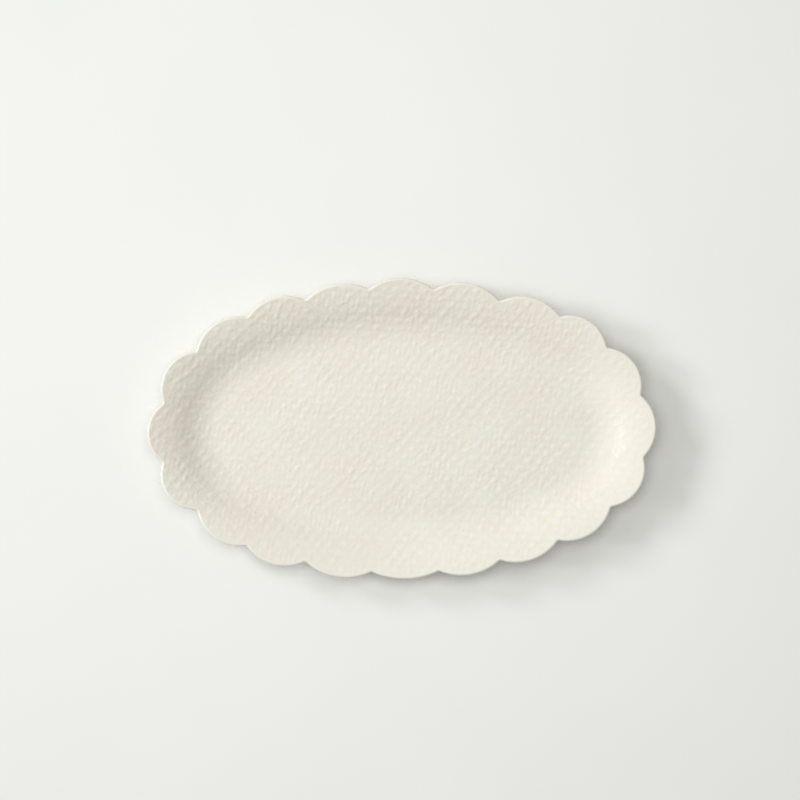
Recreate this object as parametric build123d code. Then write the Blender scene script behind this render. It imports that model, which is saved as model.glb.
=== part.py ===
from build123d import *

import os
from math import asin, atan2, cos, degrees, pi, radians, sin, sqrt

# A scalloped oval serving platter in glazed china, in millimetres.
#
# It stands on its foot ring on z = 0, centred on the Z axis, with its long axis on X.
# The china is a slab of one thickness. Its plan is a four-arc oval with round lobes
# along the edge, and its section is the same all round: a flat well, a cove that turns
# up out of it, and a flare that eases off again towards the lip. The foot ring is luted
# on below. Glaze coats everything but the land of the foot ring, which is wiped bare.

# Plan: the oval on which the valleys between the lobes lie, and the lobes on it.
VALLEY_LENGTH = 391.0
VALLEY_WIDTH = 229.6
END_RADIUS = 88.8
LOBE_COUNT = 20
END_LOBE_RISE = 11.0  # height of a lobe above the straight line between its valleys
SIDE_LOBE_RISE = 8.0
LOBE_CROWDING = 0.0035  # how far the valleys draw in towards the ends, in shares of a turn
VALLEY_RADIUS = 2.8  # the soft inner corner between two lobes

# Section of the glazed face, outwards from the edge of the flat well.
RIM_WIDTH = 45.7  # from the edge of the well to the valleys
STEEPEST = radians(25.5)  # slope where the cove turns into the flare
COVE_RADIUS = 58.0
FLARE_RADIUS = 112.0
RIM_OVERRUN = 11.0  # how far past the valleys the rim is made before it is trimmed

# Layers, from the face down.
GLAZE = 0.4
SLAB = 5.6
THICKNESS = GLAZE + SLAB + GLAZE
FACE_LIP_RADIUS = 1.6  # rounding of the lip's upper corner, over the glaze
BACK_LIP_RADIUS = 3.4  # rounding of its lower corner

# Foot ring: wider at its root, where it is luted to the slab, than at its land.
FOOT_HEIGHT = 3.6
FOOT_INSET = 6.0  # from the edge of the well to the outer side of the root
FOOT_ROOT_WIDTH = 9.0
FOOT_LAND_WIDTH = 6.4
FOOT_CORNER = 0.9
WIPED_HEIGHT = 1.3  # the foot ring is bare up to here
GLAZE_POOL_RADIUS = 1.5  # the glaze pools in the corners beside the foot ring
GLAZE_POOL_REACH = 3.0

FLOOR_Z = FOOT_HEIGHT + SLAB + GLAZE  # the glazed floor of the well

NEARBY = 0.05  # points closer than this are taken as one
OVER_ALL = 4 * FLOOR_Z  # taller than the platter
OVER_FACE = 2 * FLOOR_Z  # clear of the glaze, and less than the cove's radius


class Oval:
    """Four tangent arcs about the origin. Growing it keeps the centres of the arcs, so
    the band between two grown ovals has one width all round."""

    def __init__(self, half_length, half_width, end_radius):
        self.end_x = half_length - end_radius
        span = self.end_x**2 + half_width**2 - end_radius**2
        self.end_radius = end_radius
        self.side_radius = span / (2 * (half_width - end_radius))
        self.side_y = self.side_radius - half_width
        self.join = atan2(self.side_y, self.end_x)

    def arcs(self, growth=0.0):
        """Centre, radius, start angle and sweep of each arc, from the one at +X."""
        end_sweep = 2 * self.join
        side_sweep = pi - end_sweep
        end = self.end_radius + growth
        side = self.side_radius + growth
        return [
            ((self.end_x, 0), end, -self.join, end_sweep),
            ((0, -self.side_y), side, self.join, side_sweep),
            ((-self.end_x, 0), end, pi - self.join, end_sweep),
            ((0, self.side_y), side, pi + self.join, side_sweep),
        ]

    def face(self, growth=0.0):
        edges = [
            CenterArc(centre, radius, degrees(start), degrees(sweep))
            for centre, radius, start, sweep in self.arcs(growth)
        ]
        return make_face(Wire(edges))

    def point(self, share):
        """The point at a share of the way round, from the middle of the arc at +X."""
        arcs = self.arcs()
        perimeter = sum(radius * sweep for _, radius, _, sweep in arcs)
        along = (share * perimeter + self.end_radius * self.join) % perimeter
        for (x, y), radius, start, sweep in arcs:
            if along <= radius * sweep:
                angle = start + along / radius
                return x + radius * cos(angle), y + radius * sin(angle)
            along -= radius * sweep


VALLEYS = Oval(VALLEY_LENGTH / 2, VALLEY_WIDTH / 2, END_RADIUS)


def valley(i):
    """The point between two lobes, counted round from the middle of the +X end."""
    share = (i - 0.5) / LOBE_COUNT
    return VALLEYS.point(share - LOBE_CROWDING * sin(4 * pi * share))


def lobe_rise(i):
    """Lobes stand out most at the two ends, and least in the middle of the sides."""
    endness = cos(2 * pi * i / LOBE_COUNT) ** 2
    return SIDE_LOBE_RISE + (END_LOBE_RISE - SIDE_LOBE_RISE) * endness


def lobe_circles():
    """Centre and radius of each lobe's arc, which rises over a line between valleys."""
    circles = []
    for i in range(LOBE_COUNT):
        start = Vector(valley(i))
        end = Vector(valley(i + 1))
        rise = lobe_rise(i)
        radius = ((end - start).length ** 2 / 4 + rise**2) / (2 * rise)
        inwards = (end - start).normalized().rotate(Axis.Z, 90)
        circles.append(((start + end) / 2 + inwards * (radius - rise), radius))
    return circles


def meeting(circle, next_circle):
    """The outer point where the arcs of two neighbouring lobes cross."""
    (centre, radius), (next_centre, next_radius) = circle, next_circle
    gap = (next_centre - centre).length
    along = (radius**2 - next_radius**2 + gap**2) / (2 * gap)
    onwards = (next_centre - centre).normalized()
    outwards = onwards.rotate(Axis.Z, -90)
    return centre + onwards * along + outwards * sqrt(radius**2 - along**2)


def lobed_outline(inset=0.0):
    """The outline at a distance inside the finished edge: an arc for each lobe, with a
    lobe at both ends of both axes, and the corners between the lobes softened."""
    circles = [(centre, radius - inset) for centre, radius in lobe_circles()]
    corners = [meeting(circles[i - 1], circles[i]) for i in range(LOBE_COUNT)]
    arcs = []
    for i, (centre, radius) in enumerate(circles):
        start = corners[i]
        end = corners[(i + 1) % LOBE_COUNT]
        top = centre + ((start + end) / 2 - centre).normalized() * radius
        arcs.append(ThreePointArc(start, top, end))
    face = make_face(Wire(arcs))
    return fillet(face.vertices(), VALLEY_RADIUS + inset)


def rim_line(depth):
    """The rim's section at a depth under the glazed face: the start, middle and end of
    the cove, then the middle and end of the flare that runs on from it."""
    reach = COVE_RADIUS + FLARE_RADIUS
    cove_z = FLOOR_Z + COVE_RADIUS
    flare_x = reach * sin(STEEPEST)
    flare_z = cove_z - reach * cos(STEEPEST)
    last = asin((flare_x - RIM_WIDTH - RIM_OVERRUN) / FLARE_RADIUS)

    def on_cove(slope):
        radius = COVE_RADIUS + depth
        return radius * sin(slope), cove_z - radius * cos(slope)

    def on_flare(slope):
        radius = FLARE_RADIUS - depth
        return flare_x - radius * sin(slope), flare_z + radius * cos(slope)

    return [
        on_cove(0),
        on_cove(STEEPEST / 2),
        on_cove(STEEPEST),
        on_flare((STEEPEST + last) / 2),
        on_flare(last),
    ]


def band(section, growth):
    """Carries a section round the grown oval, one solid to each of its arcs. The X of
    the section's face is the distance outwards from the oval, and its Y is up."""
    solids = []
    for (x, y), radius, start, sweep in VALLEYS.arcs(growth):
        outwards = Vector(cos(start), sin(start), 0)
        plane = Plane(
            origin=Vector(x, y, 0) + outwards * radius,
            x_dir=outwards,
            z_dir=Vector(sin(start), -cos(start), 0),
        )
        axis = Axis((x, y, 0), (0, 0, 1))
        solids.append(revolve(plane * section, axis, degrees(sweep)))
    return solids


def dish(top_depth, bottom_depth):
    """The platter's form, before its edge is cut, between two depths under its face."""
    top = rim_line(top_depth)
    bottom = rim_line(bottom_depth)
    section = make_face(
        Wire(
            [
                ThreePointArc(top[0], top[1], top[2]),
                ThreePointArc(top[2], top[3], top[4]),
                Line(top[4], bottom[4]),
                ThreePointArc(bottom[4], bottom[3], bottom[2]),
                ThreePointArc(bottom[2], bottom[1], bottom[0]),
                Line(bottom[0], top[0]),
            ]
        )
    )
    floor = extrude(VALLEYS.face(-RIM_WIDTH), bottom_depth - top_depth)
    floor = Pos(0, 0, FLOOR_Z - bottom_depth) * floor
    return floor.fuse(*band(section, -RIM_WIDTH))


def cut_and_rounded(form, outline, face_radius, back_radius):
    """A dish cut to an outline, with the upper and lower corners of its lip rounded."""
    solid = (form & extrude(outline, OVER_ALL)).solid()
    edge = outline.face().outer_wire()
    lip = []
    for e in solid.edges():
        middle = e.center()
        run = (e @ 1) - (e @ 0)
        on_outline = edge.distance_to(Vertex(middle.X, middle.Y, 0)) < NEARBY
        if on_outline and abs(run.X) + abs(run.Y) > NEARBY:
            lip.append(e)
    heights = [e.center().Z for e in lip]
    halfway = (min(heights) + max(heights)) / 2
    solid = solid.fillet(face_radius, [e for e in lip if e.center().Z > halfway])
    lower_edges = [e for e in lip if e.center().Z < halfway]
    return solid.fillet(back_radius, lower_edges)


def china_slab():
    """The clay itself, one glaze coat inside the finished surface all over."""
    return cut_and_rounded(
        dish(GLAZE, GLAZE + SLAB),
        lobed_outline(GLAZE),
        FACE_LIP_RADIUS - GLAZE,
        BACK_LIP_RADIUS - GLAZE,
    )


def foot_flank(height):
    """How far the foot ring's side stands in from its root, at a height."""
    taper = (FOOT_ROOT_WIDTH - FOOT_LAND_WIDTH) / 2
    return taper * (1 - height / FOOT_HEIGHT)


def foot_ring():
    land = foot_flank(0)
    section = make_face(
        Wire(
            Polyline(
                (-FOOT_ROOT_WIDTH, FOOT_HEIGHT),
                (land - FOOT_ROOT_WIDTH, 0),
                (-land, 0),
                (0, FOOT_HEIGHT),
                close=True,
            )
        )
    )
    corners = [v for v in section.vertices() if v.Y < FOOT_HEIGHT / 2]
    solids = band(fillet(corners, FOOT_CORNER), -RIM_WIDTH - FOOT_INSET)
    return solids[0].fuse(*solids[1:]).solid()


def foot_coat():
    """The glaze around the foot ring, down to where it is wiped, filled in solid."""
    wiped = foot_flank(WIPED_HEIGHT)
    coat_base = FOOT_HEIGHT - GLAZE
    section = make_face(
        Wire(
            Polyline(
                (-FOOT_ROOT_WIDTH - GLAZE_POOL_REACH, FOOT_HEIGHT),
                (-FOOT_ROOT_WIDTH - GLAZE_POOL_REACH, coat_base),
                (foot_flank(coat_base) - FOOT_ROOT_WIDTH - GLAZE, coat_base),
                (wiped - FOOT_ROOT_WIDTH - GLAZE, WIPED_HEIGHT),
                (GLAZE - wiped, WIPED_HEIGHT),
                (GLAZE - foot_flank(coat_base), coat_base),
                (GLAZE_POOL_REACH, coat_base),
                (GLAZE_POOL_REACH, FOOT_HEIGHT),
                close=True,
            )
        )
    )
    corners = [
        v
        for v in section.vertices()
        if abs(v.Y - coat_base) < NEARBY
        and abs(v.X + FOOT_ROOT_WIDTH / 2) < FOOT_ROOT_WIDTH / 2 + GLAZE_POOL_RADIUS
    ]
    return band(fillet(corners, GLAZE_POOL_RADIUS), -RIM_WIDTH - FOOT_INSET)


def glaze_coats(slab, foot):
    """The glaze as its three coats: over the face and the lip, from the lip in to the
    foot ring, and inside the foot ring. The first two meet half way down the lip."""
    finished = cut_and_rounded(
        dish(0, THICKNESS), lobed_outline(), FACE_LIP_RADIUS, BACK_LIP_RADIUS
    )
    glaze = finished.fuse(*foot_coat()) - slab - foot
    upper_half = dish(-OVER_FACE, THICKNESS / 2)
    face_coat = (glaze & upper_half).solid()
    recess_coat, underside_coat = (glaze - upper_half).solids().sort_by(SortBy.VOLUME)
    return face_coat, underside_coat, recess_coat


def main():
    slab = china_slab()
    foot = foot_ring()
    face_coat, underside_coat, recess_coat = glaze_coats(slab, foot)
    os.makedirs("parts", exist_ok=True)
    export_step(slab, "parts/china_slab.step")
    export_step(foot, "parts/foot_ring.step")
    export_step(face_coat, "parts/face_glaze.step")
    export_step(underside_coat, "parts/underside_glaze.step")
    export_step(recess_coat, "parts/recess_glaze.step")


main()
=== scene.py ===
from math import atan2, cos, pi, radians, sin, tan

import bpy
import numpy as np
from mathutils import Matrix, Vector, geometry


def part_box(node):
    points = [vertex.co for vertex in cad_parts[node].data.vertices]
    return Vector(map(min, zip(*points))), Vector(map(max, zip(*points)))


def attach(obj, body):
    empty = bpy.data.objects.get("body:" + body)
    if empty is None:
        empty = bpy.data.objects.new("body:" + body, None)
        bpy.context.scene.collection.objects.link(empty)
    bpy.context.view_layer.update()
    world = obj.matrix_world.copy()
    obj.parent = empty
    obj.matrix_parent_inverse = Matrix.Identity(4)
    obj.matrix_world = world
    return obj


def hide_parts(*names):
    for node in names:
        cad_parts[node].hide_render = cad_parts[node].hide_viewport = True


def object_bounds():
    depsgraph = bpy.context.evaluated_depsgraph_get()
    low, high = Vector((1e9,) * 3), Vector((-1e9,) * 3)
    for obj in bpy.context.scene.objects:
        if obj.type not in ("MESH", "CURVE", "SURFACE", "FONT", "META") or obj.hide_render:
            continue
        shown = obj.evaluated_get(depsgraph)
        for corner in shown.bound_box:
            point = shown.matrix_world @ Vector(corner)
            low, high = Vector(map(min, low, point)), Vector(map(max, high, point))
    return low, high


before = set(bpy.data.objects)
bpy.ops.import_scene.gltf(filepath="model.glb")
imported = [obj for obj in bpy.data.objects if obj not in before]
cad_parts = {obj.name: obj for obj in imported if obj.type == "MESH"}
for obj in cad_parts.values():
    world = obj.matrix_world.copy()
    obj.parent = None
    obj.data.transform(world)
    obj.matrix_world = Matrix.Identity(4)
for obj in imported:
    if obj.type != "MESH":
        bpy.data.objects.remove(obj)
CAD_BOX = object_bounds()

# A scalloped oval serving platter in ivory-glazed china, on a pale surface by a window.
#
# The CAD's smooth face, lip, underside and slab are replaced here by meshes that carry
# what the CAD leaves out: the weave pressed into the face, and the lobes that came out
# uneven by hand. The bare foot ring and the glaze inside it are the CAD's own.
#
# Lengths are in millimetres until a mesh, light or camera is made.
MM = 0.001

# Plan: the oval that the valleys between the lobes lie on, and the lobes on it.
VALLEY_HALF_LENGTH = 195.5
VALLEY_HALF_WIDTH = 114.8
END_RADIUS = 88.8
LOBE_COUNT = 20
END_LOBE_RISE = 11.0
SIDE_LOBE_RISE = 8.0
LOBE_CROWDING = 0.0035
VALLEY_RADIUS = 2.8

# Section, outwards from the edge of the flat well, and the layers under the face.
RIM_WIDTH = 45.7
STEEPEST = radians(25.5)
COVE_RADIUS = 58.0
FLARE_RADIUS = 112.0
GLAZE = 0.4
SLAB = 5.6
THICKNESS = GLAZE + SLAB + GLAZE
FACE_LIP_RADIUS = 1.6
BACK_LIP_RADIUS = 3.4
FLOOR_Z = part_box("face_glaze")[0].z / MM + GLAZE

# Foot ring, as the glaze around it needs.
FOOT_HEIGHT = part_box("foot_ring")[1].z / MM
FOOT_INSET = 6.0
FOOT_TAPER = 1.3
WIPED_HEIGHT = 1.3
GLAZE_POOL_RADIUS = 1.5
GLAZE_POOL_REACH = 3.0
POOL_POINTS = 6

# Mesh density: points per lobe and per valley on a loop, and the lattices' spacings.
LOBE_POINTS = 50
VALLEY_POINTS = 5
FACE_SPACING = 1.09
BACK_SPACING = 2.4
HIDDEN_SPACING = 4.2
LATTICE_CLEARANCE = 0.6  # kept between a lattice and a loop, in shares of its spacing
SHARP_ANGLE = radians(45)  # faces that meet more steeply keep a sharp edge
TRIANGLES_INSIDE = 1  # asks the triangulation for the triangles inside the outer loop
MERGE_DISTANCE = 1e-6  # points closer than this become one
TINY = 1e-9  # keeps a division off zero
BATCH = 4000  # points compared with the outline at a time, to save memory

# Hand work: how far a valley has slid round the edge and moved out, and how much a
# lobe has grown, each by its number counted round from the middle of the +X end.
SLID_VALLEYS = {1: 2.5, 2: 2.0, 3: -2.0, 4: -2.5, 8: -2.0, 9: -2.0, 14: -2.0, 16: 2.0, 18: -1.5}
MOVED_VALLEYS = {
    0: 1.0, 2: -2.0, 3: 1.5, 4: -2.0, 5: -1.0, 8: 2.0,
    9: -1.0, 11: 1.0, 12: -2.5, 13: 2.5, 19: -1.5,
}
GROWN_LOBES = {4: 1.5, 5: 1.0, 9: 1.5, 10: 1.5, 11: 1.5, 15: -2.0, 16: -1.0, 17: -1.0}
SLIDE_SHARE = 0.001  # the edge is about a metre round, so this share of it is about 1 mm

# The rim's warp, as waves round it: each one's height, how many there are, and its phase.
KILN_WARP = ((0.22, 2, 0.6), (0.16, 3, 2.1), (0.10, 7, 4.0))

# The pressed weave: rows of cells that run nearly along X. The slub in every other cell
# is a thread that passed over, and those between are threads that passed under.
ROW_PITCH = 6.1
STEP_PITCH = 5.5
WEAVE_TURN = radians(-2.4)
WEAVE_HEIGHT = 0.32
CELL_COUNT = 128
OVER_LENGTH = 2.4
OVER_WIDTH = 1.7
UNDER_LENGTH = 1.8
UNDER_WIDTH = 1.8
GROUND_DEPTH = 0.4  # from the CAD's smooth face down to the ground between the slubs

# How uneven the cloth was. Heights here, and the ground's depth, are in shares of the
# weave's height.
WANDER_ALONG = 2.6
WANDER_ACROSS = 1.3
FINE_WANDER_ALONG = 0.5
FINE_WANDER_ACROSS = 0.4
SHIFT_ALONG = 1.9
SHIFT_ACROSS = 1.5
LEAST_LEAN = radians(2.2)
LEAN_SPREAD = radians(33)
LEAST_OVER = 0.4
OVER_SPREAD = 0.5
LEAST_UNDER = -0.2
UNDER_SPREAD = 0.6
CREASE_HEIGHT = 0.26
PEBBLE_HEIGHT = 0.26

# How strongly the weave took: deeper on the rim, and softer at +X and along -Y.
EVEN_STRENGTH = 0.92
FADING_SHARE = 0.3
RIM_STRENGTH = 0.45
END_SOFTENING = 0.5
END_SOFTENS = (110, 170)
SIDE_SOFTENING = 0.45
SIDE_SOFTENS = (50, 90)
LEAST_STRENGTH = 0.3
MOST_STRENGTH = 1.6
WEAVE_STARTS = 1.0  # inset from the lip at which it begins
WEAVE_IS_FULL = 4.5  # and at which it has all its height
THIN_LIP = (0.1, 1.5)  # insets between which the thin glaze of the lip thickens

rng = np.random.default_rng(20)


def smoothstep(low, high, value):
    t = np.clip((value - low) / (high - low), 0, 1)
    return t * t * (3 - 2 * t)


# ---------------------------------------------------------------- plan of the platter


class Oval:
    """Four tangent arcs about the origin, as in the CAD."""

    def __init__(self, half_length, half_width, end_radius):
        self.end_x = half_length - end_radius
        span = self.end_x**2 + half_width**2 - end_radius**2
        self.end_radius = end_radius
        self.side_radius = span / (2 * (half_width - end_radius))
        self.side_y = self.side_radius - half_width
        self.join = atan2(self.side_y, self.end_x)

    def arcs(self):
        end_sweep = 2 * self.join
        side_sweep = pi - end_sweep
        return [
            ((self.end_x, 0), self.end_radius, -self.join, end_sweep),
            ((0, -self.side_y), self.side_radius, self.join, side_sweep),
            ((-self.end_x, 0), self.end_radius, pi - self.join, end_sweep),
            ((0, self.side_y), self.side_radius, pi + self.join, side_sweep),
        ]

    def point(self, share, out=0.0):
        """The point at a share of the way round from +X, moved out along the normal."""
        arcs = self.arcs()
        perimeter = sum(radius * sweep for _, radius, _, sweep in arcs)
        along = (share * perimeter + self.end_radius * self.join) % perimeter
        for (x, y), radius, start, sweep in arcs:
            if along <= radius * sweep:
                angle = start + along / radius
                reach = radius + out
                return np.array([x + reach * cos(angle), y + reach * sin(angle)])
            along -= radius * sweep

    def loop(self, out, count):
        """Points spaced evenly round the oval, each moved out along the normal."""
        return np.array([self.point(i / count, out) for i in range(count)])

    def offset(self, points):
        """How far outside the oval each point is, and which way is straight out."""
        x = np.abs(points[:, 0])
        y = np.abs(points[:, 1])
        at_side = np.arctan2(y + self.side_y, x) >= self.join
        from_x = np.where(at_side, x, x - self.end_x)
        from_y = np.where(at_side, y + self.side_y, y)
        reach = np.hypot(from_x, from_y)
        radius = np.where(at_side, self.side_radius, self.end_radius)
        out = np.stack([from_x, from_y], 1) / np.maximum(reach, TINY)[:, None]
        return reach - radius, out * np.where(points < 0, -1.0, 1.0)


VALLEYS = Oval(VALLEY_HALF_LENGTH, VALLEY_HALF_WIDTH, END_RADIUS)


def turned(vector, angle):
    c = cos(angle)
    s = sin(angle)
    return np.array([c * vector[0] - s * vector[1], s * vector[0] + c * vector[1]])


def unit(vector):
    return vector / np.hypot(*vector)


def valley(i):
    """The point between two lobes."""
    share = (i - 0.5) / LOBE_COUNT
    share -= LOBE_CROWDING * sin(4 * pi * share)
    share += SLID_VALLEYS.get(i % LOBE_COUNT, 0) * SLIDE_SHARE
    return VALLEYS.point(share, MOVED_VALLEYS.get(i % LOBE_COUNT, 0))


def lobe_circle(i):
    """Centre and radius of a lobe's arc."""
    start = valley(i)
    end = valley(i + 1)
    endness = cos(2 * pi * i / LOBE_COUNT) ** 2
    rise = SIDE_LOBE_RISE + (END_LOBE_RISE - SIDE_LOBE_RISE) * endness
    rise += GROWN_LOBES.get(i, 0)
    half = np.hypot(*(end - start)) / 2
    radius = (half**2 + rise**2) / (2 * rise)
    inwards = turned(unit(end - start), pi / 2)
    return (start + end) / 2 + inwards * (radius - rise), radius


def crossing(centre, radius, next_centre, next_radius):
    """The outer point where two circles cross."""
    gap = np.hypot(*(next_centre - centre))
    along = (radius**2 - next_radius**2 + gap**2) / (2 * gap)
    onwards = unit(next_centre - centre)
    outwards = turned(onwards, -pi / 2)
    return centre + onwards * along + outwards * (radius**2 - along**2) ** 0.5


def arc(centre, radius, start, end, count):
    """Points from one direction round to another by the shorter way, without the last."""
    low = atan2(start[1], start[0])
    sweep = (atan2(end[1], end[0]) - low + pi) % (2 * pi) - pi
    angles = low + sweep * np.arange(count) / count
    around = np.stack([np.cos(angles), np.sin(angles)], 1)
    return centre + radius * around, around


def lobed_edge():
    """The platter's outline over the glaze, and its outward normals."""
    circles = [lobe_circle(i) for i in range(LOBE_COUNT)]
    corners = []
    for i, (centre, radius) in enumerate(circles):
        before, before_radius = circles[i - 1]
        grown = (before, before_radius + VALLEY_RADIUS, centre, radius + VALLEY_RADIUS)
        corners.append(crossing(*grown))
    points = []
    normals = []
    for i, (centre, radius) in enumerate(circles):
        corner = corners[i]
        before = circles[i - 1][0]
        after = corners[(i + 1) % LOBE_COUNT]
        found, around = arc(
            corner, VALLEY_RADIUS, before - corner, centre - corner, VALLEY_POINTS
        )
        points.append(found)
        normals.append(-around)
        found, around = arc(centre, radius, corner - centre, after - centre, LOBE_POINTS)
        points.append(found)
        normals.append(around)
    return np.concatenate(points), np.concatenate(normals)


EDGE, EDGE_OUT = lobed_edge()


def inset_of(points):
    """How far inside the outline each point is."""
    insets = np.empty(len(points))
    for at in range(0, len(points), BATCH):
        some = points[at : at + BATCH]
        gaps = ((some[:, None, :] - EDGE[None, :, :]) ** 2).sum(2)
        near = gaps.argmin(1)
        insets[at : at + BATCH] = ((EDGE[near] - some) * EDGE_OUT[near]).sum(1)
    return insets


# ------------------------------------------------------------------- heights and relief


def unevenness(points):
    """The slight warp that the rim took in the kiln."""
    angle = np.arctan2(points[:, 1] / VALLEY_HALF_WIDTH, points[:, 0] / VALLEY_HALF_LENGTH)
    wave = sum(high * np.sin(waves * angle + phase) for high, waves, phase in KILN_WARP)
    out = VALLEYS.offset(points)[0] + RIM_WIDTH
    return wave * smoothstep(0, RIM_WIDTH, out)


def height(points, depth=0.0):
    """Height of the layer at a depth under the glazed face, and the way out of it."""
    offset, outwards = VALLEYS.offset(points)
    out = offset + RIM_WIDTH
    reach = COVE_RADIUS + FLARE_RADIUS
    cove_z = FLOOR_Z + COVE_RADIUS
    flare_x = reach * sin(STEEPEST)
    flare_z = cove_z - reach * cos(STEEPEST)
    cove = COVE_RADIUS + depth
    flare = FLARE_RADIUS - depth
    on_cove = np.clip(out, 0, cove * sin(STEEPEST))
    on_flare = np.clip(flare_x - out, 0, flare * sin(STEEPEST))
    cove_height = cove_z - np.sqrt(cove**2 - on_cove**2)
    flare_height = flare_z + np.sqrt(flare**2 - on_flare**2)
    in_cove = out < cove * sin(STEEPEST)
    z = np.where(in_cove, cove_height, flare_height) + unevenness(points)
    slope = np.arcsin(np.where(in_cove, on_cove / cove, on_flare / flare))
    across = -np.sin(slope)[:, None] * outwards
    return z, np.concatenate([across, np.cos(slope)[:, None]], 1)


WAVE_RATES = (0.6, 1.5)  # least and greatest, against the rate that the scale gives
NOISE_GAIN = 2.2  # brings a mean of many waves back to about -1 to 1


class Noise:
    """Smooth noise from a few crossed waves, the same on every run. The waves run every
    way, or within a fan of directions about one."""

    def __init__(self, scale, waves=9, towards=0.0, fan=2 * pi):
        angles = towards + rng.uniform(-fan / 2, fan / 2, waves)
        rates = 2 * pi / scale * rng.uniform(*WAVE_RATES, waves)
        self.rates = np.stack([np.cos(angles), np.sin(angles)], 1) * rates[:, None]
        self.phases = rng.uniform(0, 2 * pi, waves)

    def __call__(self, points):
        return np.sin(points @ self.rates.T + self.phases).mean(1) * NOISE_GAIN


WANDER_X = Noise(46)
WANDER_Y = Noise(60)
FINE_WANDER_X = Noise(13)
FINE_WANDER_Y = Noise(16)
FADING = Noise(38)
CREASES = Noise(5.4, 18, radians(-62), radians(100))
PEBBLES = Noise(4.2, 18)
CELLS = rng.uniform(0, 1, (CELL_COUNT, CELL_COUNT, 5))


def weave(points):
    """Height of the pressed weave, in millimetres: a slub in each cell of a grid, no two
    quite alike, under creases and pebbles."""
    along, across = turned(points.T, -WEAVE_TURN)
    along = along + WANDER_ALONG * WANDER_X(points) + FINE_WANDER_ALONG * FINE_WANDER_X(points)
    across = across + WANDER_ACROSS * WANDER_Y(points)
    across = across + FINE_WANDER_ACROSS * FINE_WANDER_Y(points)
    column = along / STEP_PITCH
    row = across / ROW_PITCH
    total = np.zeros(len(points))
    for down in (-1, 0, 1):
        for right in (-1, 0, 1):
            i = np.floor(column).astype(int) + right
            j = np.floor(row).astype(int) + down
            cell = CELLS[i % CELL_COUNT, j % CELL_COUNT]
            x = (column - i - 0.5) * STEP_PITCH - SHIFT_ALONG * (cell[:, 0] - 0.5)
            y = (row - j - 0.5) * ROW_PITCH - SHIFT_ACROSS * (cell[:, 1] - 0.5)
            lean = LEAST_LEAN + LEAN_SPREAD * cell[:, 2]
            u = x * np.cos(lean) + y * np.sin(lean)
            v = -x * np.sin(lean) + y * np.cos(lean)
            over = (i + j) % 2 == 0
            over_height = LEAST_OVER + OVER_SPREAD * cell[:, 3]
            under_height = LEAST_UNDER + UNDER_SPREAD * cell[:, 4]
            tall = np.where(over, over_height, under_height)
            long = np.where(over, OVER_LENGTH, UNDER_LENGTH)
            wide = np.where(over, OVER_WIDTH, UNDER_WIDTH)
            total += tall * np.exp(-((u / long) ** 2) - (v / wide) ** 2)
    total += CREASE_HEIGHT * CREASES(points) + PEBBLE_HEIGHT * PEBBLES(points)
    return WEAVE_HEIGHT * (total - GROUND_DEPTH) * weave_strength(points)


def weave_strength(points):
    """How strongly the weave took, which is near 1 in most of the well."""
    offset = VALLEYS.offset(points)[0]
    strength = EVEN_STRENGTH + FADING_SHARE * FADING(points)
    strength += RIM_STRENGTH * smoothstep(-RIM_WIDTH, -RIM_WIDTH / 2, offset)
    strength *= 1 - END_SOFTENING * smoothstep(*END_SOFTENS, points[:, 0])
    strength *= 1 - SIDE_SOFTENING * smoothstep(*SIDE_SOFTENS, -points[:, 1])
    return np.clip(strength, LEAST_STRENGTH, MOST_STRENGTH)


# -------------------------------------------------------------------------- mesh making


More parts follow.
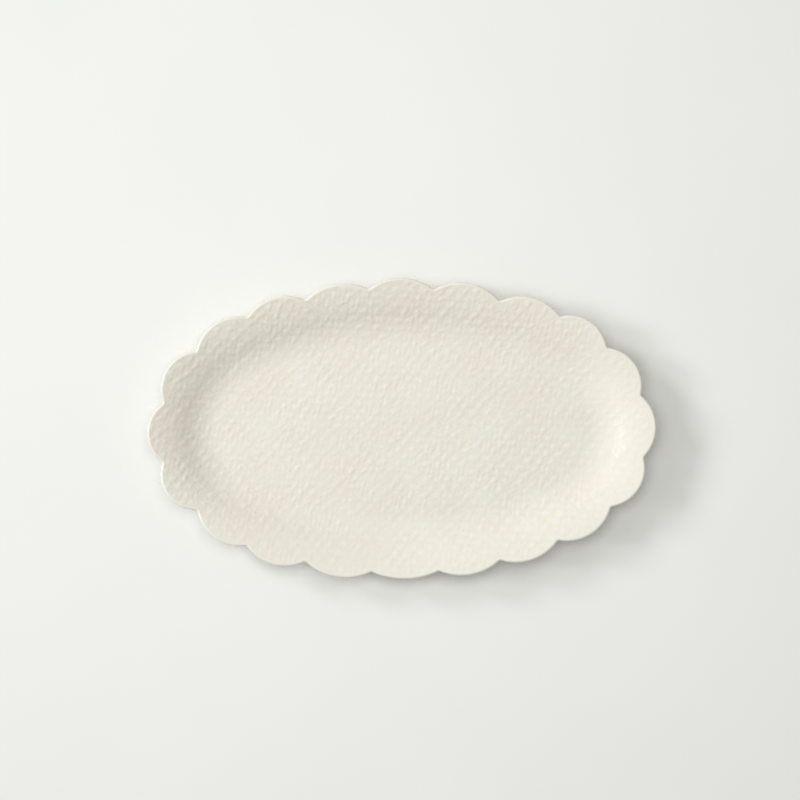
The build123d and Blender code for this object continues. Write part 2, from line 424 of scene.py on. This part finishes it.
class Shell:
    """Gathers loops and patches of points into one closed mesh."""

    def __init__(self):
        self.points = []
        self.triangles = []
        self.attributes = []
        self.count = 0

    def add(self, plan, z, attributes=None):
        """Adds points, and returns their numbers."""
        points = np.column_stack([plan, z])
        first = self.count
        self.count += len(points)
        self.points.append(points)
        blank = np.zeros((len(points), 2))
        self.attributes.append(blank if attributes is None else attributes)
        return np.arange(first, self.count)

    def join(self, lower, upper):
        """Two rows of triangles between two loops of the same count. They face out when
        both run anticlockwise seen from above and the first is nearer the underside."""
        next_lower = np.roll(lower, -1)
        next_upper = np.roll(upper, -1)
        self.triangles.append(np.stack([lower, next_lower, next_upper], 1))
        self.triangles.append(np.stack([lower, next_upper, upper], 1))

    def loops(self, rows):
        """Joins each loop to the next."""
        for lower, upper in zip(rows, rows[1:]):
            self.join(lower, upper)

    def patch(self, loops, numbers, lattice, lattice_numbers, downwards=False):
        """Fills between an outer loop and any inner one, through the lattice's points."""
        plan = np.concatenate([*loops, lattice])
        numbers = np.concatenate([*numbers, lattice_numbers])
        edges = []
        first = 0
        for loop in loops:
            edges += [(first + i, first + (i + 1) % len(loop)) for i in range(len(loop))]
            first += len(loop)
        made = geometry.delaunay_2d_cdt(
            [Vector(p) for p in plan],
            edges,
            [list(range(len(loops[0])))],
            TRIANGLES_INSIDE,
            MERGE_DISTANCE,
        )
        original = np.array([group[0] for group in made[3]])
        triangles = original[np.array(made[2])]
        if len(loops) > 1:
            middle = plan[triangles].mean(1)
            hole = VALLEYS.offset(loops[1])[0].mean()
            triangles = triangles[VALLEYS.offset(middle)[0] > hole]
        triangles = numbers[triangles]
        self.triangles.append(triangles[:, ::-1] if downwards else triangles)

    def mesh(self, name, attribute_names=()):
        """Makes the object, with its attributes under the names given."""
        points = np.concatenate(self.points) * MM
        triangles = np.concatenate(self.triangles)
        mesh = bpy.data.meshes.new(name)
        mesh.from_pydata(points.tolist(), [], triangles.tolist())
        values = np.concatenate(self.attributes)
        for i, attribute_name in enumerate(attribute_names):
            attribute = mesh.attributes.new(attribute_name, "FLOAT", "POINT")
            attribute.data.foreach_set("value", values[:, i].astype(np.float32))
        mesh.shade_smooth()
        mesh.set_sharp_from_angle(angle=SHARP_ANGLE)
        thing = bpy.data.objects.new(name, mesh)
        bpy.context.scene.collection.objects.link(thing)
        return thing


def lattice_within(spacing, margin, hole=None):
    """Points of a triangular lattice inside the outline by a margin, and outside a hole
    given as an offset from the valleys' oval. Also gives how far inside they are."""
    half_length = VALLEY_HALF_LENGTH + END_LOBE_RISE
    half_width = VALLEY_HALF_WIDTH + END_LOBE_RISE
    step = spacing * sin(pi / 3)
    rows = np.arange(-half_width, half_width, step)
    columns = np.arange(-half_length, half_length, spacing)
    x, y = np.meshgrid(columns, rows)
    x = x + np.where(np.arange(len(rows)) % 2, spacing / 2, 0)[:, None]
    points = np.stack([x.ravel(), y.ravel()], 1)
    offset = VALLEYS.offset(points)[0]
    points = points[offset < END_LOBE_RISE]
    if hole is not None:
        points = points[VALLEYS.offset(points)[0] > hole + spacing * LATTICE_CLEARANCE]
    insets = inset_of(points)
    inside = insets > margin + spacing * LATTICE_CLEARANCE
    return points[inside], insets[inside]


def lip_loop(inset):
    """The outline moved in."""
    return EDGE - EDGE_OUT * inset


def lip_ball(radius, depth, side):
    """Height of the centre of the ball that rounds the lip, and the slope it meets. The
    ball touches the layer at the depth, from below if side is -1 and above if 1."""
    # The two heights are taken 1 mm apart, so that their difference is the slope.
    near = height(lip_loop(radius - 0.5), depth)[0]
    far = height(lip_loop(radius + 0.5), depth)[0]
    slope = np.arctan(near - far)
    level = (near + far) / 2
    return level + side * radius / np.cos(slope), slope


def lip_arc(radius, depth, side, coat, turns):
    """The rounded lip as loops, from the wall to the layer, a coat inside the finished
    surface: each is its plan, its height and its inset."""
    centre, slope = lip_ball(radius, depth, side)
    sweep = pi / 2 - side * slope
    loops = []
    for turn in np.linspace(0, 1, turns + 1):
        angle = turn * sweep
        inset = radius - (radius - coat) * np.cos(angle)
        z = centre - side * (radius - coat) * np.sin(angle)
        loops.append((EDGE - EDGE_OUT * inset[:, None], z, inset))
    return loops


# Steps round the lip over the face, over the underside and on the hidden faces, and how
# far inside the lip the last loops over the face and the underside lie.
FACE_TURNS = 5
BACK_TURNS = 6
HIDDEN_TURNS = 3
LIP_MARGIN = 2.5
BACK_MARGIN = 4.6


def hidden_face(shell, downwards):
    """The slab's face under the glaze, from the split in the lip inwards. Returns the
    loop at the split."""
    rows = []
    for plan, z, _ in lip_arc(FACE_LIP_RADIUS, 0, -1, GLAZE, HIDDEN_TURNS):
        rows.append(shell.add(plan, z))
    inner = lip_loop(LIP_MARGIN)
    rows.append(shell.add(inner, height(inner, GLAZE)[0]))
    shell.loops(rows[::-1] if downwards else rows)
    lattice, _ = lattice_within(HIDDEN_SPACING, LIP_MARGIN)
    numbers = shell.add(lattice, height(lattice, GLAZE)[0])
    shell.patch([inner], [rows[-1]], lattice, numbers, downwards)
    return rows[0]


def marks(relief, inset):
    """What the glaze's colour follows: how far the weave stands up, in shares of its
    height, and how near the lip is, from 0 to 1."""
    near_lip = 1 - smoothstep(*THIN_LIP, inset)
    return np.stack([relief + np.zeros(len(inset)), near_lip], 1)


def face_glaze():
    """The glaze over the face and the lip, with the weave standing in it."""
    shell = Shell()
    rows = []
    for plan, z, inset in lip_arc(FACE_LIP_RADIUS, 0, -1, 0, FACE_TURNS):
        rows.append(shell.add(plan, z, marks(0, inset)))
    inner = lip_loop(LIP_MARGIN)
    lattice, insets = lattice_within(FACE_SPACING, LIP_MARGIN)
    relief = []
    for plan, inset in ((inner, np.full(len(inner), LIP_MARGIN)), (lattice, insets)):
        z, out = height(plan)
        lift = weave(plan) * smoothstep(WEAVE_STARTS, WEAVE_IS_FULL, inset)
        moved = np.column_stack([plan, z]) + out * lift[:, None]
        relief.append((moved, marks(lift / WEAVE_HEIGHT, inset)))
    (edge, edge_values), (middle, middle_values) = relief
    rows.append(shell.add(edge[:, :2], edge[:, 2], edge_values))
    shell.loops(rows)
    numbers = shell.add(middle[:, :2], middle[:, 2], middle_values)
    shell.patch([inner], [rows[-1]], lattice, numbers)
    split = hidden_face(shell, True)
    shell.join(split, rows[0])
    return shell.mesh("face_glaze_woven", ("relief", "near_lip"))


def foot_section():
    """Glaze beside the foot ring, as offsets outwards from its root and heights: from
    the pool's outer edge, round the pool and down the flank to where it is wiped."""
    taper = atan2(FOOT_TAPER, FOOT_HEIGHT)
    top = FOOT_HEIGHT - GLAZE
    start = GLAZE_POOL_RADIUS * tan((pi / 2 - taper) / 2)
    corner = GLAZE - FOOT_TAPER * GLAZE / FOOT_HEIGHT
    centre = (corner + start, top - GLAZE_POOL_RADIUS)
    section = []
    reach = GLAZE_POOL_RADIUS
    for angle in np.linspace(pi / 2, pi + taper, POOL_POINTS):
        section.append((centre[0] + reach * cos(angle), centre[1] + reach * sin(angle)))
    flank = -FOOT_TAPER * (1 - WIPED_HEIGHT / FOOT_HEIGHT)
    section.append((GLAZE + flank, WIPED_HEIGHT))
    section.append((flank, WIPED_HEIGHT))
    return section


FOOT_POINTS = 420
FOOT_ROOT = -RIM_WIDTH - FOOT_INSET


def hidden_back(shell, downwards, to_foot):
    """The slab's underside, from the lip's split in to the foot ring or right across.
    Returns the loop at the split and the one at the foot ring."""
    rows = []
    for plan, z, _ in lip_arc(BACK_LIP_RADIUS, THICKNESS, 1, GLAZE, HIDDEN_TURNS):
        rows.append(shell.add(plan, z))
    inner = lip_loop(BACK_MARGIN)
    rows.append(shell.add(inner, height(inner, GLAZE + SLAB)[0]))
    shell.loops(rows if downwards else rows[::-1])
    loops = [inner]
    numbers = [rows[-1]]
    if to_foot:
        foot = VALLEYS.loop(FOOT_ROOT, FOOT_POINTS)
        loops.append(foot)
        numbers.append(shell.add(foot, np.full(len(foot), FOOT_HEIGHT)))
    lattice, _ = lattice_within(
        HIDDEN_SPACING, BACK_MARGIN, FOOT_ROOT if to_foot else None
    )
    found = shell.add(lattice, height(lattice, GLAZE + SLAB)[0])
    shell.patch(loops, numbers, lattice, found, not downwards)
    return rows[0], numbers[-1]


def underside_glaze():
    """The glaze from the split in the lip in to the foot ring and down its side."""
    shell = Shell()
    split_plan, split_z, _ = lip_arc(FACE_LIP_RADIUS, 0, -1, 0, 1)[0]
    rows = [shell.add(split_plan, split_z, marks(0, np.zeros(len(split_plan))))]
    for plan, z, inset in lip_arc(BACK_LIP_RADIUS, THICKNESS, 1, 0, BACK_TURNS):
        rows.append(shell.add(plan, z, marks(0, inset)))
    inner = lip_loop(BACK_MARGIN)
    rows.append(shell.add(inner, height(inner, THICKNESS)[0]))
    shell.loops(rows[::-1])
    foot = VALLEYS.loop(FOOT_ROOT + GLAZE_POOL_REACH, FOOT_POINTS)
    foot_row = shell.add(foot, np.full(len(foot), FOOT_HEIGHT - GLAZE))
    lattice, _ = lattice_within(BACK_SPACING, BACK_MARGIN, FOOT_ROOT + GLAZE_POOL_REACH)
    found = shell.add(lattice, height(lattice, THICKNESS)[0])
    shell.patch([inner, foot], [rows[-1], foot_row], lattice, found, True)
    foot_rows = [foot_row]
    for out, z in foot_section():
        plan = VALLEYS.loop(FOOT_ROOT + out, FOOT_POINTS)
        foot_rows.append(shell.add(plan, np.full(len(plan), z)))
    hidden_split, root = hidden_back(shell, True, True)
    foot_rows.append(root)
    shell.loops(foot_rows[::-1])
    wall_plan, wall_z, _ = lip_arc(FACE_LIP_RADIUS, 0, -1, GLAZE, 1)[0]
    wall = shell.add(wall_plan, wall_z)
    shell.loops([rows[0], wall, hidden_split])
    return shell.mesh("underside_glaze_coat", ("relief", "near_lip"))


def china_slab():
    """The clay under the glaze."""
    shell = Shell()
    upper = hidden_face(shell, False)
    lower, _ = hidden_back(shell, False, False)
    shell.join(lower, upper)
    return shell.mesh("china_slab_body")


face = face_glaze()
underside = underside_glaze()
slab = china_slab()


# ---------------------------------------------------------------------------- materials


class Paint:
    """A material, and short ways to add nodes to it. Patterns lie in the part's own
    metres, so that they are the same size on every piece."""

    def __init__(self, name, colour, roughness, specular):
        self.material = bpy.data.materials.new(name)
        self.material.use_nodes = True
        self.tree = self.material.node_tree
        self.shader = self.tree.nodes["Principled BSDF"]
        self.shader.inputs["Base Color"].default_value = (*colour, 1)
        self.shader.inputs["Roughness"].default_value = roughness
        self.shader.inputs["Specular IOR Level"].default_value = specular
        self.place = self.tree.nodes.new("ShaderNodeTexCoord").outputs["Object"]

    def link(self, source, target):
        self.tree.links.new(source, target)

    def noise(self, size, detail=2.0, roughness=0.5):
        """Noise with blotches of about a size in millimetres, from 0 to 1."""
        made = self.tree.nodes.new("ShaderNodeTexNoise")
        made.inputs["Scale"].default_value = 1 / (size * MM)
        made.inputs["Detail"].default_value = detail
        made.inputs["Roughness"].default_value = roughness
        self.link(self.place, made.inputs["Vector"])
        return made.outputs["Fac"]

    def specks(self, spacing, radius):
        """Small round specks, 1 at their middles, spaced about so far apart."""
        made = self.tree.nodes.new("ShaderNodeTexVoronoi")
        made.inputs["Scale"].default_value = 1 / (spacing * MM)
        self.link(self.place, made.inputs["Vector"])
        return self.ramp(made.outputs["Distance"], 0, radius / spacing, 1, 0)

    def attribute(self, name):
        made = self.tree.nodes.new("ShaderNodeAttribute")
        made.attribute_name = name
        return made.outputs["Fac"]

    def ramp(self, source, low, high, low_value, high_value):
        """A smooth step: low_value up to low, and high_value from high on."""
        made = self.tree.nodes.new("ShaderNodeMapRange")
        made.interpolation_type = "SMOOTHSTEP"
        made.inputs["From Min"].default_value = low
        made.inputs["From Max"].default_value = high
        made.inputs["To Min"].default_value = low_value
        made.inputs["To Max"].default_value = high_value
        self.link(source, made.inputs["Value"])
        return made.outputs["Result"]

    def times(self, first, second):
        made = self.tree.nodes.new("ShaderNodeMath")
        made.operation = "MULTIPLY"
        self.link(first, made.inputs[0])
        self.link(second, made.inputs[1])
        return made.outputs["Value"]

    def blend(self, share, under, over):
        """One colour over another by a share. Each is a colour or a node's output."""
        made = self.tree.nodes.new("ShaderNodeMix")
        made.data_type = "RGBA"
        self.link(share, made.inputs["Factor"])
        for side, colour in (("A", under), ("B", over)):
            socket = next(s for s in made.inputs if s.name == side and s.type == "RGBA")
            if isinstance(colour, tuple):
                socket.default_value = (*colour, 1)
            else:
                self.link(colour, socket)
        return next(s for s in made.outputs if s.type == "RGBA")

    def bump(self, source, height_mm, before=None):
        made = self.tree.nodes.new("ShaderNodeBump")
        made.inputs["Strength"].default_value = 1.0
        made.inputs["Distance"].default_value = height_mm * MM
        self.link(source, made.inputs["Height"])
        if before is not None:
            self.link(before, made.inputs["Normal"])
        return made.outputs["Normal"]


IVORY = (0.802, 0.771, 0.700)
PALE_IVORY = (0.822, 0.799, 0.735)
# Pooled glaze and painted shade: the colour put into the hollows between the slubs.
POOLED_AND_SHADED_IVORY = (0.772, 0.727, 0.615)
THIN_GLAZE = (0.66, 0.56, 0.42)
IRON_SPECK = (0.34, 0.25, 0.16)


def ivory_glaze():
    """Satin ivory glaze: cloudy, darker and yellower between the slubs from pooled glaze and
    painted shade, thin enough along the lip for the clay to warm it, with a few iron specks and
    pinholes."""
    paint = Paint("ivory_glaze", IVORY, 0.24, 0.5)
    clouds = paint.ramp(paint.noise(42, 3.0), 0.35, 0.68, 0, 1)
    colour = paint.blend(clouds, IVORY, PALE_IVORY)
    # Painted shade, partly pooled glaze: the lower the weave lies, the darker and yellower the
    # glaze.
    pooled_and_shaded = paint.ramp(paint.attribute("relief"), -0.6, 0.1, 0.55, 0)
    colour = paint.blend(pooled_and_shaded, colour, POOLED_AND_SHADED_IVORY)
    worn = paint.ramp(paint.noise(5, 3.0), 0.35, 0.7, 0.25, 1.0)
    near_lip = paint.ramp(paint.attribute("near_lip"), 0, 1, 0, 0.5)
    colour = paint.blend(paint.times(near_lip, worn), colour, THIN_GLAZE)
    specks = paint.specks(11, 0.22)
    chosen = paint.ramp(paint.noise(8, 0.0), 0.6, 0.66, 0, 0.7)
    colour = paint.blend(paint.times(specks, chosen), colour, IRON_SPECK)
    paint.link(colour, paint.shader.inputs["Base Color"])
    rough = paint.ramp(paint.noise(9, 4.0, 0.6), 0.3, 0.7, 0.18, 0.30)
    paint.link(rough, paint.shader.inputs["Roughness"])
    ripple = paint.bump(paint.noise(2.6, 3.0, 0.55), 0.07)
    pinholes = paint.bump(paint.specks(6, 0.3), -0.05, ripple)
    paint.link(pinholes, paint.shader.inputs["Normal"])
    return paint.material


def bare_china():
    """Fired clay where the glaze is wiped off: matt, biscuit-coloured and sandy."""
    paint = Paint("bare_china", (0.74, 0.66, 0.54), 0.85, 0.3)
    clouds = paint.ramp(paint.noise(16, 4.0, 0.6), 0.3, 0.7, 0, 1)
    colour = paint.blend(clouds, (0.70, 0.61, 0.48), (0.78, 0.71, 0.60))
    grain = paint.ramp(paint.specks(1.3, 0.3), 0.2, 1.0, 0, 0.55)
    colour = paint.blend(grain, colour, (0.50, 0.40, 0.29))
    paint.link(colour, paint.shader.inputs["Base Color"])
    rough = paint.ramp(paint.noise(1.2, 2.0), 0.3, 0.7, 0.75, 0.95)
    paint.link(rough, paint.shader.inputs["Roughness"])
    sand = paint.bump(paint.noise(0.7, 4.0, 0.65), 0.08)
    paint.link(sand, paint.shader.inputs["Normal"])
    return paint.material


def pale_surface():
    """The matt painted board that the platter lies on."""
    paint = Paint("pale_surface", (0.86, 0.86, 0.83), 0.9, 0.1)
    clouds = paint.ramp(paint.noise(160, 3.0), 0.3, 0.7, 0, 1)
    colour = paint.blend(clouds, (0.848, 0.856, 0.835), (0.860, 0.868, 0.849))
    paint.link(colour, paint.shader.inputs["Base Color"])
    grain = paint.bump(paint.noise(1.5, 3.0), 0.02)
    paint.link(grain, paint.shader.inputs["Normal"])
    return paint.material


GLAZE_MATERIAL = ivory_glaze()
CHINA_MATERIAL = bare_china()


def dress(thing, chosen):
    thing.data.materials.clear()
    thing.data.materials.append(chosen)


for thing, name, slot, chosen in (
    (face, "face_glaze", "glaze", GLAZE_MATERIAL),
    (underside, "underside_glaze", "glaze", GLAZE_MATERIAL),
    (slab, "china_slab", "china", CHINA_MATERIAL),
):
    dress(thing, chosen)
    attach(thing, "root")
    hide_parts(name)

for name, chosen in (("foot_ring", CHINA_MATERIAL), ("recess_glaze", GLAZE_MATERIAL)):
    dress(bpy.data.objects[name], chosen)


# --------------------------------------------------------------- surface, light, camera

SURFACE_HALF_WIDTH = 6000.0


def surface():
    """The level board under the platter, which isn't part of it."""
    mesh = bpy.data.meshes.new("surface")
    h = SURFACE_HALF_WIDTH * MM
    z = CAD_BOX[0].z
    mesh.from_pydata(
        [(-h, -h, z), (h, -h, z), (h, h, z), (-h, h, z)], [], [(0, 1, 2, 3)]
    )
    made = bpy.data.objects.new("surface", mesh)
    bpy.context.scene.collection.objects.link(made)
    dress(made, pale_surface())


surface()

DAYLIGHT = (0.985, 1.0, 1.0)
ROOM_LIGHT = (1.0, 0.99, 0.96)
ROOM_STRENGTH = 0.40
WINDOW_DISTANCE = 5.0


def aimed(light, name, azimuth, elevation, distance):
    """Places a light on the platter's sky, facing the platter."""
    thing = bpy.data.objects.new(name, light)
    bpy.context.scene.collection.objects.link(thing)
    a = radians(azimuth)
    e = radians(elevation)
    away = Vector((cos(e) * cos(a), cos(e) * sin(a), sin(e)))
    thing.location = away * distance
    thing.rotation_euler = away.to_track_quat("Z", "Y").to_euler()
    return thing


def skylight(name, azimuth, elevation, strength, spread):
    """Daylight through a window across the room: its strength at the platter, in watts
    to the square metre, and how wide it looks from there, in degrees."""
    light = bpy.data.lights.new(name, "AREA")
    light.shape = "DISK"
    light.size = 2 * WINDOW_DISTANCE * tan(radians(spread) / 2)
    light.energy = strength * pi * WINDOW_DISTANCE**2
    light.color = DAYLIGHT
    return aimed(light, name, azimuth, elevation, WINDOW_DISTANCE)


def softbox(name, azimuth, elevation, distance, width, tall, watts):
    """A lamp behind a sheet of white cloth. Its sizes are in metres."""
    light = bpy.data.lights.new(name, "AREA")
    light.shape = "RECTANGLE"
    light.size = width
    light.size_y = tall
    light.energy = watts
    light.color = ROOM_LIGHT
    return aimed(light, name, azimuth, elevation, distance)


# The side window and the softbox don't show in the glaze, which mirrors one window.
skylight("window", 172, 25, 0.90, 14)
skylight("window_top", 173, 36, 0.33, 22)
side = skylight("window_side", 148, 25, 1.03, 14)
side.visible_glossy = False
overhead = softbox("overhead", 120, 81, 1.17, 0.9, 0.6, 4.7)
overhead.visible_glossy = False

world = bpy.data.worlds.new("room")
bpy.context.scene.world = world
world.use_nodes = True
background = world.node_tree.nodes["Background"]
background.inputs["Color"].default_value = (*ROOM_LIGHT, 1)
background.inputs["Strength"].default_value = ROOM_STRENGTH

LENS = 85.0
SENSOR = 36.0
VIEW_WIDTH = 641.4  # width of the picture at the height of the rim
VIEW_TURN = radians(-0.62)
VIEW_RIGHT = -2.4  # where the picture's centre lies from the platter's
VIEW_UP = 24.2
CLIP_END = 100.0


def camera():
    data = bpy.data.cameras.new("camera")
    data.lens = LENS
    data.sensor_width = SENSOR
    thing = bpy.data.objects.new("camera", data)
    bpy.context.scene.collection.objects.link(thing)
    rim_z = CAD_BOX[1].z
    away = VIEW_WIDTH * MM * LENS / SENSOR
    middle = turned((VIEW_RIGHT, VIEW_UP), VIEW_TURN) * MM
    thing.location = (*middle, rim_z + away)
    thing.rotation_euler = (0, 0, VIEW_TURN)
    data.clip_end = CLIP_END
    bpy.context.scene.camera = thing


camera()
bpy.context.scene.view_settings.view_transform = "Standard"
